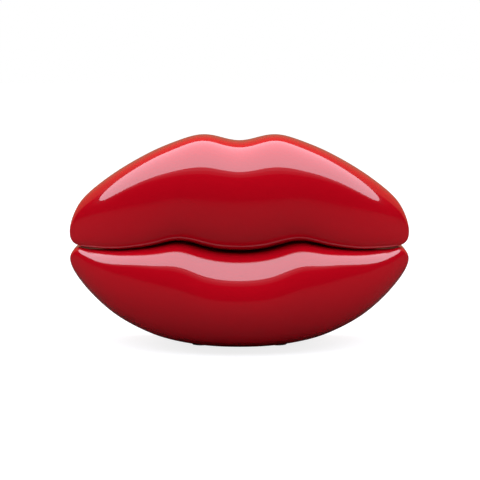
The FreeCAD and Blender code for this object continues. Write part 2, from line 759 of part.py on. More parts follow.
def hook_plunger():
    tip = plate_bottom - plunger_tip_gap
    flange_bottom = deck_bottom - plunger_travel - fit_gap - plunger_flange_thickness
    upper_stem = post(plunger_x, plunger_y, plunger_radius, flange_bottom, tip)
    tip_edges = [edge for edge in upper_stem.Edges if edge.BoundBox.ZMin > (flange_bottom + tip) / 2]
    upper_stem = upper_stem.makeFillet(plunger_radius / 3, tip_edges)
    flange = post(plunger_x, plunger_y, plunger_radius + plunger_flange, flange_bottom,
                  flange_bottom + plunger_flange_thickness)
    lower_stem = post(plunger_x, plunger_y, plunger_stem_radius, board_top + 2 * fit_gap, flange_bottom)
    return joined([upper_stem, flange, lower_stem]), flange_bottom


def save_base():
    save("lower_lip_shell", base_shell())
    save("base_rear_cover", base_cover())
    save("cradle_deck", cradle_deck())
    save("bottom_cover", bottom_cover())
    ballast_reach = deck_post_spacing / 2 - post_radius - ballast_post_gap
    save("ballast_plate", block(-ballast_reach, ballast_reach, plinth_front + plinth_wall + ballast_gap,
                                plinth_back - plinth_wall - ballast_gap, plinth_floor,
                                plinth_floor + ballast_thickness))
    save("rubber_feet", Part.makeCompound([post(x, y, foot_radius, 0, foot_height) for x, y in feet]))
    pads = [ring(side * ear_x, recess_middle, well_radius - fit_gap, well_radius - fit_gap - pad_width,
                 well_floor, well_floor + pad_thickness) for side in (-1, 1)]
    save("cradle_pads", Part.makeCompound(pads))
    save("base_screws", base_screws())
    save("board_screws", board_screws())
    for name, x, y, width in key_places():
        save(name, key(x, y, width))
    save("key_mat", key_mat())
    save("key_circuit_board", key_board())
    save("main_circuit_board", main_board())
    plunger, spring_top = hook_plunger()
    save("hook_plunger", plunger)
    switch_top = board_top + hook_switch_height
    bore = post(plunger_x, plunger_y, plunger_stem_radius + sliding_gap, board_top + fit_gap,
                switch_top + overrun)
    switch = centred_block(plunger_x, plunger_y, hook_switch_size, hook_switch_size, board_top, switch_top)
    save("hook_switch", switch.cut(bore))
    spring_inner = plunger_stem_radius + sliding_gap
    save("hook_spring", ring(plunger_x, plunger_y, spring_inner + spring_wall, spring_inner, switch_top,
                             spring_top))
    save("line_jack", jack(line_jack_x, jack_middle))
    save("base_handset_jack", jack(-line_jack_x, jack_middle))
    save("ringer_switch", switch_body(switch_x))
    save("ringer_switch_knob", switch_knob(switch_x))
    save("dial_mode_switch", switch_body(-switch_x))
    save("dial_mode_switch_knob", switch_knob(-switch_x))
    save("dialler_chip", centred_block(chip_x, main_board_front + chip_inset, chip_length, chip_width,
                                       board_top, board_top + chip_height))
    save("line_transformer", centred_block(transformer_x, main_board_front + transformer_inset,
                                           transformer_size, transformer_size, board_top,
                                           board_top + transformer_height))
    capacitors = [post(x, main_board_front + capacitor_inset, capacitor_radius, board_top,
                       board_top + capacitor_height) for x in (capacitor_x, capacitor_x - capacitor_spacing)]
    save("board_capacitors", Part.makeCompound(capacitors))
    save("ringer_sounder", ring(sounder_x, main_board_front + sounder_inset, sounder_radius,
                                sounder_hole_radius, board_top, board_top + sounder_height))


os.makedirs("parts", exist_ok=True)
save_handset()
save_base()
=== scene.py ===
import json
import math
import bpy
import numpy
from mathutils import Matrix, Vector

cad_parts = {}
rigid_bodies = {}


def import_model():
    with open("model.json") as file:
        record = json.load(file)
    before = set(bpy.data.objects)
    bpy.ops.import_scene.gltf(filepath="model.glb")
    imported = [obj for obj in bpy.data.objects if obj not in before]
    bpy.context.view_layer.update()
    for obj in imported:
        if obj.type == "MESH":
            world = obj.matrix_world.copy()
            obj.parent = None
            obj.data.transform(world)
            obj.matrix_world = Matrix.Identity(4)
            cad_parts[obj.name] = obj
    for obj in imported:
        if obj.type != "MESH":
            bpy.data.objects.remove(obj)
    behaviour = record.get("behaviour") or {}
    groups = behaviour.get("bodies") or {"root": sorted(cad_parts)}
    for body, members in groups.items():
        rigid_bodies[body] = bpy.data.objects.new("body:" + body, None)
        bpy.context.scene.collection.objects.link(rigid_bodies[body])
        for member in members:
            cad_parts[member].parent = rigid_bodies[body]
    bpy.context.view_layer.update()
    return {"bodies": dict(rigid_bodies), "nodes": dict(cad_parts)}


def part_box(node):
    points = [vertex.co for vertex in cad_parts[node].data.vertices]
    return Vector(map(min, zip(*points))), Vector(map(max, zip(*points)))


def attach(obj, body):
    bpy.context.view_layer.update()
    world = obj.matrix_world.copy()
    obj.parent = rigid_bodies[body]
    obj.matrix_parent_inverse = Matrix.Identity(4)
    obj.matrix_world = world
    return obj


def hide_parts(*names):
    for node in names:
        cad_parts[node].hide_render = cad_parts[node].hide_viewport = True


# Telephone in the shape of a pair of lips: the lower lip is the base, the upper lip the handset.
# Metres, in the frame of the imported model. -Y is the front, the desk is z = 0.

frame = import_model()
nodes = frame["nodes"]
mm = 0.001
print("frame loaded:", len(nodes), "nodes")

# camera and studio

studio = {
    "lens": 120,
    "elevation": 8,
    "viewWidth": 0.3083,                # what the camera sees across, at the phone
    "aim": (0.0004, 0, 0.0698),
    "worldFill": 0.09,
    "floorSize": 8,
    "floorShade": 0.3,
    "floorGlow": (0.82, 1.0),           # near the phone, and further off
    "glowReach": (0.25, 0.55),
    "cardSpan": 7,                      # dark cards stand round the phone like a tent
    "cardHeight": 1.5,
    "cardFoot": -0.1,
    "frontCard": -2.0,
    "backCard": 1.9,
    "sideCards": 3.4,
    "ceilingCard": 1.1,
    "tableCard": 0.0004,                # this one lies on the floor
    "cardBlack": (0.002, 0.002, 0.002, 1),
    "tableShade": (0.040, 0.030, 0.026, 1),
}
# name, outline, place, target, width, depth, watts, colour, seen in the gloss
lamps = [
    ("overhead", "ELLIPSE", (0, -0.22, 0.75), (0, -0.22, 0), 6.5, 1.28, 52, (1.03, 1.09, 1.23), True),
    ("innerGlow", "ELLIPSE", (0, -0.32, 0.76), (0, -0.32, 0), 6.7, 1.48, 3.9, (1.03, 1.09, 1.23), True),
    ("outerGlow", "ELLIPSE", (0, -0.44, 0.77), (0, -0.44, 0), 6.9, 1.72, 2.7, (1.03, 1.09, 1.23), True),
    ("rimLamp", "RECTANGLE", (0, 0.85, 0.50), (0, 0, 0.10), 4.0, 1.15, 6, (1, 0.36, 0.22), True),
    ("frontFill", "RECTANGLE", (0, -1.40, 0.12), (0, 0, 0.07), 1.8, 1.00, 1.2, (1, 1, 1), False),
]


def setCamera():
    camData = bpy.data.cameras.new("camera")
    camData.lens = studio["lens"]
    cam = bpy.data.objects.new("camera", camData)
    bpy.context.scene.collection.objects.link(cam)
    distance = studio["viewWidth"] * studio["lens"] / camData.sensor_width
    tilt = math.radians(studio["elevation"])
    aim = Vector(studio["aim"])
    cam.location = aim + Vector((0, -math.cos(tilt), math.sin(tilt))) * distance
    cam.rotation_euler = (aim - cam.location).to_track_quat("-Z", "Y").to_euler()
    bpy.context.scene.camera = cam


def seenOrReflected(tree):
    # 1 for rays from the camera and for those that gloss, metal or glass sends on
    rays = tree.nodes.new("ShaderNodeLightPath")
    total = rays.outputs["Is Camera Ray"]
    for name in ("Is Glossy Ray", "Is Transmission Ray"):
        larger = tree.nodes.new("ShaderNodeMath")
        larger.operation = "MAXIMUM"
        tree.links.new(total, larger.inputs[0])
        tree.links.new(rays.outputs[name], larger.inputs[1])
        total = larger.outputs[0]
    return total


def setWorld():
    world = bpy.data.worlds.new("whiteRoom")
    world.use_nodes = True
    bpy.context.scene.world = world
    tree = world.node_tree
    tree.nodes.clear()
    fill = tree.nodes.new("ShaderNodeBackground")
    fill.inputs["Color"].default_value = (1, 1, 1, 1)
    fill.inputs["Strength"].default_value = studio["worldFill"]
    white = tree.nodes.new("ShaderNodeBackground")
    white.inputs["Color"].default_value = (1, 1, 1, 1)
    mix = tree.nodes.new("ShaderNodeMixShader")
    out = tree.nodes.new("ShaderNodeOutputWorld")
    tree.links.new(seenOrReflected(tree), mix.inputs["Fac"])
    tree.links.new(fill.outputs[0], mix.inputs[1])
    tree.links.new(white.outputs[0], mix.inputs[2])
    tree.links.new(mix.outputs[0], out.inputs["Surface"])


def setFloor():
    # pale, and a little bright by itself, so that only the phone's soft shadow shows on it
    bpy.ops.object.select_all(action="DESELECT")
    bpy.ops.mesh.primitive_plane_add(size=studio["floorSize"])
    floor = bpy.context.object
    floor.name = "floor"
    mat = bpy.data.materials.new("paleFloor")
    mat.use_nodes = True
    tree = mat.node_tree
    tree.nodes.clear()
    matt = tree.nodes.new("ShaderNodeBsdfDiffuse")
    matt.inputs["Color"].default_value = [studio["floorShade"]] * 3 + [1]
    glow = tree.nodes.new("ShaderNodeEmission")
    glow.inputs["Color"].default_value = (1, 1, 1, 1)
    strength = tree.nodes.new("ShaderNodeMath")
    strength.operation = "MULTIPLY"
    place = tree.nodes.new("ShaderNodeTexCoord")
    reach = tree.nodes.new("ShaderNodeVectorMath")
    reach.operation = "LENGTH"
    spread = tree.nodes.new("ShaderNodeMapRange")
    spread.inputs["From Min"].default_value, spread.inputs["From Max"].default_value = studio["glowReach"]
    spread.inputs["To Min"].default_value, spread.inputs["To Max"].default_value = studio["floorGlow"]
    tree.links.new(place.outputs["Object"], reach.inputs[0])
    tree.links.new(reach.outputs["Value"], spread.inputs["Value"])
    tree.links.new(spread.outputs["Result"], strength.inputs[1])
    both = tree.nodes.new("ShaderNodeAddShader")
    out = tree.nodes.new("ShaderNodeOutputMaterial")
    tree.links.new(seenOrReflected(tree), strength.inputs[0])
    tree.links.new(strength.outputs[0], glow.inputs["Strength"])
    tree.links.new(matt.outputs[0], both.inputs[0])
    tree.links.new(glow.outputs[0], both.inputs[1])
    tree.links.new(both.outputs[0], out.inputs["Surface"])
    floor.data.materials.append(mat)


def addLamp(name, outline, place, target, width, depth, watts, colour, inGloss):
    lampData = bpy.data.lights.new(name, "AREA")
    lampData.shape = outline
    lampData.size = width
    lampData.size_y = depth
    lampData.energy = watts
    lampData.color = colour
    lamp = bpy.data.objects.new(name, lampData)
    bpy.context.scene.collection.objects.link(lamp)
    lamp.location = place
    lamp.rotation_euler = (Vector(target) - Vector(place)).to_track_quat("-Z", "Y").to_euler()
    lamp.visible_camera = False
    lamp.visible_glossy = inGloss


def cardPaint(name, colour):
    mat = bpy.data.materials.new(name)
    mat.use_nodes = True
    shader = mat.node_tree.nodes["Principled BSDF"]
    shader.inputs["Base Color"].default_value = colour
    shader.inputs["Specular IOR Level"].default_value = 0
    return mat


def addCard(name, place, facing, height, mat):
    # only reflections see it
    bpy.ops.object.select_all(action="DESELECT")
    bpy.ops.mesh.primitive_plane_add(size=1)
    card = bpy.context.object
    card.name = name
    card.scale = (studio["cardSpan"], height, 1)
    card.location = place
    card.rotation_euler = Vector(facing).to_track_quat("Z", "Y").to_euler()
    card.data.materials.append(mat)
    card.visible_camera = False
    card.visible_diffuse = False
    card.visible_shadow = False
    card.visible_transmission = False


def setStudio():
    setCamera()
    setWorld()
    setFloor()
    bpy.context.scene.view_settings.view_transform = "Standard"
    for lamp in lamps:
        addLamp(*lamp)
    black = cardPaint("blackCard", studio["cardBlack"])
    table = cardPaint("tableCard", studio["tableShade"])
    span, height, side = studio["cardSpan"], studio["cardHeight"], studio["sideCards"]
    middle = height / 2 + studio["cardFoot"]
    addCard("frontCard", (0, studio["frontCard"], middle), (0, 1, 0), height, black)
    addCard("backCard", (0, studio["backCard"], middle), (0, -1, 0), height, black)
    addCard("leftCard", (-side, 0, middle), (1, 0, 0), height, black)
    addCard("rightCard", (side, 0, middle), (-1, 0, 0), height, black)
    addCard("ceilingCard", (0, 0, studio["ceilingCard"]), (0, 0, -1), span, black)
    addCard("tableCard", (0, 0, studio["tableCard"]), (0, 0, 1), span, table)


setStudio()
print("studio ready:", len(lamps), "lamps")

# effects that several finishes share

effects = {
    "grainDetail": 4.0,
    "broadShare": 0.05,                 # scale of the slow drift in roughness, as a share of the grain's
    "driftScale": 60,
    "driftDetail": 2.0,
    "streakDetail": 2.0,
    "bumpHeight": 0.1 * mm,
    "edgeWidth": 0.4 * mm,
    "edgeSamples": 4,
    "edgeGain": 5.0,
    "patchScale": 900.0,
    "patchDetail": 4.0,
    "dustTint": (0.42, 0.40, 0.37, 1),
    "dustFall": 3.0,                    # how fast dust thins out as a face tilts
    "speckleScale": 400.0,
    "speckleDetail": 5.0,
    "weaveTint": (0.10, 0.30, 0.12, 1),
    "weaveShow": 0.18,
}


def newGroup(name, inputs, outputs):
    group = bpy.data.node_groups.new(name, "ShaderNodeTree")
    for label, kind, value in inputs:
        socket = group.interface.new_socket(label, in_out="INPUT", socket_type="NodeSocket" + kind)
        socket.default_value = value
    for label, kind in outputs:
        group.interface.new_socket(label, in_out="OUTPUT", socket_type="NodeSocket" + kind)
    return group, group.nodes.new("NodeGroupInput"), group.nodes.new("NodeGroupOutput")


def addMath(tree, operation, a, b, clamp=False):
    node = tree.nodes.new("ShaderNodeMath")
    node.operation = operation
    node.use_clamp = clamp
    for socket, value in zip(node.inputs, (a, b)):
        if isinstance(value, (int, float)):
            socket.default_value = value
        else:
            tree.links.new(value, socket)
    return node.outputs[0]


def addNoise(tree, scale, detail=3.0, stretch=None):
    # noise in the piece's own space, finer along an axis with a larger stretch
    place = tree.nodes.new("ShaderNodeTexCoord").outputs["Object"]
    if stretch is not None:
        mapping = tree.nodes.new("ShaderNodeMapping")
        mapping.inputs["Scale"].default_value = stretch
        tree.links.new(place, mapping.inputs["Vector"])
        place = mapping.outputs[0]
    noise = tree.nodes.new("ShaderNodeTexNoise")
    noise.inputs["Detail"].default_value = detail
    tree.links.new(place, noise.inputs["Vector"])
    if isinstance(scale, (int, float)):
        noise.inputs["Scale"].default_value = scale
    else:
        tree.links.new(scale, noise.inputs["Scale"])
    return noise.outputs["Fac"]


def addMix(tree, factor, a, b):
    mix = tree.nodes.new("ShaderNodeMix")
    mix.data_type = "RGBA"
    for socket, value in ((mix.inputs["Factor"], factor), (mix.inputs[6], a), (mix.inputs[7], b)):
        if isinstance(value, (int, float, tuple)):
            socket.default_value = value
        else:
            tree.links.new(value, socket)
    return mix.outputs[2]


def makeSurfaceGrain():
    # roughness that wanders about its mean, and a fine height for a bump
    inputs = [("Scale", "Float", 2000.0), ("Roughness", "Float", 0.4), ("Spread", "Float", 0.1)]
    group, ins, outs = newGroup("surfaceGrain", inputs, [("Roughness", "Float"), ("Height", "Float")])
    coarse = addMath(group, "MULTIPLY", ins.outputs["Scale"], effects["broadShare"])
    broad = addMath(group, "SUBTRACT", addNoise(group, coarse), 0.5)
    drift = addMath(group, "MULTIPLY", broad, ins.outputs["Spread"])
    group.links.new(addMath(group, "ADD", drift, ins.outputs["Roughness"], True), outs.inputs["Roughness"])
    fine = addNoise(group, ins.outputs["Scale"], effects["grainDetail"])
    group.links.new(fine, outs.inputs["Height"])
    return group


def makeShadeDrift():
    # a colour that is a little lighter or darker from place to place
    inputs = [("Colour", "Color", (1, 1, 1, 1)), ("Scale", "Float", effects["driftScale"]),
              ("Amount", "Float", 0.1)]
    group, ins, outs = newGroup("shadeDrift", inputs, [("Colour", "Color")])
    cloud = addNoise(group, ins.outputs["Scale"], effects["driftDetail"])
    around = addMath(group, "SUBTRACT", cloud, 0.5)
    value = addMath(group, "ADD", addMath(group, "MULTIPLY", around, ins.outputs["Amount"]), 1.0)
    change = group.nodes.new("ShaderNodeHueSaturation")
    group.links.new(ins.outputs["Colour"], change.inputs["Color"])
    group.links.new(value, change.inputs["Value"])
    group.links.new(change.outputs[0], outs.inputs["Colour"])
    return group


def makeEdgeWear():
    # edges rubbed pale, broken up by noise
    inputs = [("Colour", "Color", (1, 1, 1, 1)), ("Worn", "Color", (1, 1, 1, 1)),
              ("Width", "Float", effects["edgeWidth"]), ("Amount", "Float", 0.5)]
    group, ins, outs = newGroup("edgeWear", inputs, [("Colour", "Color")])
    bevel = group.nodes.new("ShaderNodeBevel")
    bevel.samples = effects["edgeSamples"]
    group.links.new(ins.outputs["Width"], bevel.inputs["Radius"])
    normal = group.nodes.new("ShaderNodeNewGeometry")
    match = group.nodes.new("ShaderNodeVectorMath")
    match.operation = "DOT_PRODUCT"
    group.links.new(bevel.outputs[0], match.inputs[0])
    group.links.new(normal.outputs["Normal"], match.inputs[1])
    turned = addMath(group, "SUBTRACT", 1.0, match.outputs["Value"])
    edge = addMath(group, "MULTIPLY", turned, effects["edgeGain"], True)
    patches = addNoise(group, effects["patchScale"], effects["patchDetail"])
    patchy = addMath(group, "MULTIPLY", edge, patches, True)
    mask = addMath(group, "MULTIPLY", patchy, ins.outputs["Amount"], True)
    group.links.new(addMix(group, mask, ins.outputs["Colour"], ins.outputs["Worn"]), outs.inputs["Colour"])
    return group


def makeRestingDust():
    # a pale film on what faces up
    inputs = [("Colour", "Color", (1, 1, 1, 1)), ("Amount", "Float", 0.1)]
    group, ins, outs = newGroup("restingDust", inputs, [("Colour", "Color")])
    normal = group.nodes.new("ShaderNodeNewGeometry")
    split = group.nodes.new("ShaderNodeSeparateXYZ")
    group.links.new(normal.outputs["Normal"], split.inputs[0])
    facingUp = addMath(group, "MAXIMUM", split.outputs["Z"], 0.0)
    upward = addMath(group, "POWER", facingUp, effects["dustFall"])
    speckle = addNoise(group, effects["speckleScale"], effects["speckleDetail"])
    settled = addMath(group, "MULTIPLY", upward, speckle, True)
    mask = addMath(group, "MULTIPLY", settled, ins.outputs["Amount"], True)
    group.links.new(addMix(group, mask, ins.outputs["Colour"], effects["dustTint"]), outs.inputs["Colour"])
    return group


surfaceGrain = makeSurfaceGrain()
shadeDrift = makeShadeDrift()
edgeWear = makeEdgeWear()
restingDust = makeRestingDust()

# finishes, one for each material slot of the frame

finishes = {
    "red_shell": {
        "colour": (0.44, 0.001, 0.007), "roughness": 0.2, "spread": 0.05, "grain": 5000, "depth": 0.0002,
        "drift": 0.05, "driftScale": 14,
        "sockets": {"Specular IOR Level": 0.1, "Coat Weight": 1, "Coat IOR": 1.75, "Coat Roughness": 0.02}},
    "black_plastic": {
        "colour": (0.018, 0.017, 0.017), "roughness": 0.48, "spread": 0.12, "grain": 2600, "depth": 0.12,
        "drift": 0.2, "worn": (0.1, 0.1, 0.1), "wear": 0.5, "dust": 0.1},
    "key_plastic": {
        "colour": (0.82, 0.79, 0.7), "roughness": 0.26, "spread": 0.08, "grain": 3200, "depth": 0.03,
        "drift": 0.05, "worn": (0.62, 0.56, 0.44), "wear": 0.35,
        "sockets": {"Subsurface Weight": 0.12, "Subsurface Radius": (0.6, 0.5, 0.4),
                    "Subsurface Scale": 0.001}},
    "key_rubber": {
        "colour": (0.16, 0.16, 0.17), "roughness": 0.72, "spread": 0.1, "grain": 1800, "depth": 0.08,
        "drift": 0.12},
    "plunger_plastic": {
        "colour": (0.76, 0.74, 0.68), "roughness": 0.3, "spread": 0.08, "grain": 3000, "depth": 0.04,
        "drift": 0.05, "worn": (0.5, 0.45, 0.38), "wear": 0.4, "dust": 0.05},
    "switch_plastic": {
        "colour": (0.022, 0.022, 0.024), "roughness": 0.42, "spread": 0.1, "grain": 2800, "depth": 0.06,
        "drift": 0.15, "worn": (0.12, 0.12, 0.12), "wear": 0.4},
    "knob_plastic": {
        "colour": (0.78, 0.76, 0.7), "roughness": 0.38, "spread": 0.1, "grain": 2600, "depth": 0.06,
        "drift": 0.06, "worn": (0.45, 0.42, 0.36), "wear": 0.5},
    "jack_plastic": {
        "colour": (0.03, 0.03, 0.033), "roughness": 0.3, "spread": 0.1, "grain": 3000, "depth": 0.04,
        "drift": 0.15, "worn": (0.15, 0.15, 0.15), "wear": 0.4},
    "screw_steel": {
        "colour": (0.56, 0.55, 0.53), "roughness": 0.3, "spread": 0.16, "grain": 1500, "depth": 0.08,
        "drift": 0.2, "worn": (0.82, 0.81, 0.79), "wear": 0.7, "stretch": (1, 1, 12),
        "sockets": {"Metallic": 1}},
    "spring_steel": {
        "colour": (0.5, 0.5, 0.5), "roughness": 0.26, "spread": 0.12, "grain": 1500, "depth": 0.05,
        "drift": 0.15, "stretch": (1, 1, 20),
        "sockets": {"Metallic": 1}},
    "capsule_metal": {
        "colour": (0.66, 0.67, 0.68), "roughness": 0.36, "spread": 0.12, "grain": 900, "depth": 0.06,
        "drift": 0.1, "worn": (0.85, 0.85, 0.85), "wear": 0.5, "stretch": (1, 14, 1),
        "sockets": {"Metallic": 1}},
    "weight_metal": {
        "colour": (0.2, 0.2, 0.21), "roughness": 0.6, "spread": 0.2, "grain": 500, "depth": 0.35,
        "drift": 0.3, "worn": (0.4, 0.4, 0.4), "wear": 0.8,
        "sockets": {"Metallic": 0.8}},
    "soft_rubber": {
        "colour": (0.02, 0.02, 0.021), "roughness": 0.78, "spread": 0.12, "grain": 1600, "depth": 0.15,
        "drift": 0.25, "dust": 0.12},
    "board_laminate": {
        "colour": (0.02, 0.16, 0.055), "roughness": 0.34, "spread": 0.1, "grain": 1800, "depth": 0.1,
        "drift": 0.35, "worn": (0.45, 0.42, 0.25), "wear": 0.9, "weave": 700,
        "sockets": {"Coat Weight": 0.4, "Coat Roughness": 0.15}},
    "chip_plastic": {
        "colour": (0.028, 0.028, 0.03), "roughness": 0.55, "spread": 0.1, "grain": 2400, "depth": 0.1,
        "drift": 0.15, "worn": (0.16, 0.16, 0.16), "wear": 0.4},
    "transformer_iron": {
        "colour": (0.16, 0.15, 0.14), "roughness": 0.5, "spread": 0.15, "grain": 1200, "depth": 0.2,
        "drift": 0.3, "worn": (0.4, 0.38, 0.36), "wear": 0.6, "stretch": (1, 1, 30),
        "sockets": {"Metallic": 0.7}},
    "capacitor_sleeve": {
        "colour": (0.02, 0.05, 0.16), "roughness": 0.25, "spread": 0.08, "grain": 2200, "depth": 0.04,
        "drift": 0.12, "worn": (0.5, 0.52, 0.55), "wear": 0.5},
    "sounder_plastic": {
        "colour": (0.024, 0.024, 0.025), "roughness": 0.5, "spread": 0.12, "grain": 2400, "depth": 0.1,
        "drift": 0.15, "worn": (0.14, 0.14, 0.14), "wear": 0.4},
    # finishes of what only this scene shows
    "legendInk": {
        "colour": (0.012, 0.012, 0.013), "roughness": 0.5, "spread": 0.15, "grain": 4000, "depth": 0.05,
        "drift": 0.2},
    "contactGold": {
        "colour": (0.83, 0.58, 0.22), "roughness": 0.22, "spread": 0.1, "grain": 3000, "depth": 0.03,
        "drift": 0.12, "stretch": (1, 10, 1),
        "sockets": {"Metallic": 1}},
}


def addGroup(tree, group, **values):
    node = tree.nodes.new("ShaderNodeGroup")
    node.node_tree = group
    for label, value in values.items():
        socket = node.inputs[label]
        if isinstance(value, (int, float)):
            socket.default_value = value
        elif isinstance(value, tuple):
            socket.default_value = value + (1,)
        else:
            tree.links.new(value, socket)
    return node


def addWeave(tree, colour, pitch):
    # glass cloth that shows faintly through the laminate
    place = tree.nodes.new("ShaderNodeTexCoord").outputs["Object"]
    checker = tree.nodes.new("ShaderNodeTexChecker")
    checker.inputs["Scale"].default_value = pitch
    tree.links.new(place, checker.inputs["Vector"])
    strength = addMath(tree, "MULTIPLY", checker.outputs["Fac"], effects["weaveShow"])
    return addMix(tree, strength, colour, effects["weaveTint"])


def makeFinish(name, s):
    mat = bpy.data.materials.new(name)
    mat.use_nodes = True
    tree = mat.node_tree
    shader = tree.nodes["Principled BSDF"]
    for label, value in s.get("sockets", {}).items():
        shader.inputs[label].default_value = value
    colour = addGroup(tree, shadeDrift, Colour=s["colour"], Scale=s.get("driftScale", effects["driftScale"]),
                      Amount=s["drift"]).outputs["Colour"]
    if "weave" in s:
        colour = addWeave(tree, colour, s["weave"])
    if "wear" in s:
        colour = addGroup(tree, edgeWear, Colour=colour, Worn=s["worn"], Amount=s["wear"]).outputs["Colour"]
    if "dust" in s:
        colour = addGroup(tree, restingDust, Colour=colour, Amount=s["dust"]).outputs["Colour"]
    tree.links.new(colour, shader.inputs["Base Color"])
    grain = addGroup(tree, surfaceGrain, Scale=s["grain"], Roughness=s["roughness"], Spread=s["spread"])
    tree.links.new(grain.outputs["Roughness"], shader.inputs["Roughness"])
    height = grain.outputs["Height"]
    if "stretch" in s:
        streaks = addNoise(tree, s["grain"], effects["streakDetail"], s["stretch"])
        height = addMath(tree, "ADD", height, streaks)
    bump = tree.nodes.new("ShaderNodeBump")
    bump.inputs["Strength"].default_value = s["depth"]
    bump.inputs["Distance"].default_value = effects["bumpHeight"]
    tree.links.new(height, bump.inputs["Height"])
    tree.links.new(bump.outputs[0], shader.inputs["Normal"])
    return mat


paint = {name: makeFinish(name + "Finish", s) for name, s in finishes.items()}
for node in nodes.values():
    slotName = node.material_slots[0].material.name
    node.material_slots[0].material = paint[slotName]
print("finishes ready:", len(paint))

# modelling helpers

facesUp = 0.9                           # least z of an upward normal


def only(piece):
    bpy.ops.object.select_all(action="DESELECT")
    piece.select_set(True)
    bpy.context.view_layer.objects.active = piece


def applyAll(piece):
    only(piece)
    for modifier in list(piece.modifiers):
        bpy.ops.object.modifier_apply(modifier=modifier.name)


def pickEdges(piece, test):
    # into edit mode with only the edges that pass the test selected
    only(piece)
    bpy.ops.object.mode_set(mode="EDIT")
    bpy.ops.mesh.select_mode(type="EDGE")
    bpy.ops.mesh.select_all(action="DESELECT")
    bpy.ops.object.mode_set(mode="OBJECT")
    points = piece.data.vertices
    for edge in piece.data.edges:
        a, b = edge.vertices
        edge.select = test(points[a].co, points[b].co)
    bpy.ops.object.mode_set(mode="EDIT")


def pickFaces(piece, test):
    only(piece)
    bpy.ops.object.mode_set(mode="EDIT")
    bpy.ops.mesh.select_mode(type="FACE")
    bpy.ops.mesh.select_all(action="DESELECT")
    bpy.ops.object.mode_set(mode="OBJECT")
    for face in piece.data.polygons:
        face.select = test(face.center, face.normal)
    bpy.ops.object.mode_set(mode="EDIT")


def faceOut(piece):
    only(piece)
    bpy.ops.object.mode_set(mode="EDIT")
    bpy.ops.mesh.select_all(action="SELECT")
    bpy.ops.mesh.normals_make_consistent(inside=False)
    bpy.ops.object.mode_set(mode="OBJECT")


def smoothed(piece, levels):
    rounding = piece.modifiers.new("rounding", "SUBSURF")
    rounding.levels = levels
    rounding.render_levels = levels
    applyAll(piece)
    faceOut(piece)


def carve(piece, tool):
    cut = piece.modifiers.new("cut", "BOOLEAN")
    cut.object = tool
    cut.operation = "DIFFERENCE"
    cut.solver = "MANIFOLD"
    applyAll(piece)
    bpy.data.objects.remove(tool)


def cutAcross(piece, y, keepFront):
    only(piece)
    bpy.ops.object.mode_set(mode="EDIT")
    bpy.ops.mesh.select_all(action="SELECT")
    bpy.ops.mesh.bisect(plane_co=(0, y, 0), plane_no=(0, 1, 0), use_fill=True,
                        clear_outer=keepFront, clear_inner=not keepFront)
    bpy.ops.object.mode_set(mode="OBJECT")


def addBlock(name, x0, x1, y0, y1, z0, z1):
    bpy.ops.object.select_all(action="DESELECT")
    bpy.ops.mesh.primitive_cube_add(size=1, location=((x0 + x1) / 2, (y0 + y1) / 2, (z0 + z1) / 2),
                                    scale=(x1 - x0, y1 - y0, z1 - z0))
    block = bpy.context.object
    block.name = name
    bpy.ops.object.transform_apply(location=True, rotation=True, scale=True)
    return block


def roundUpright(block, corner, segments):
    low, high = min(v.co.z for v in block.data.vertices), max(v.co.z for v in block.data.vertices)
    pickEdges(block, lambda a, b: abs(a.z - b.z) > (high - low) / 2)
    bpy.ops.mesh.bevel(offset=corner, segments=segments)
    bpy.ops.object.mode_set(mode="OBJECT")


def finishPiece(piece, body, slotName, finish=None, angle=40):
    only(piece)
    bpy.ops.object.shade_smooth_by_angle(angle=math.radians(angle))
    piece.data.materials.clear()
    piece.data.materials.append(paint[finish or slotName])
    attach(piece, body)


# lips

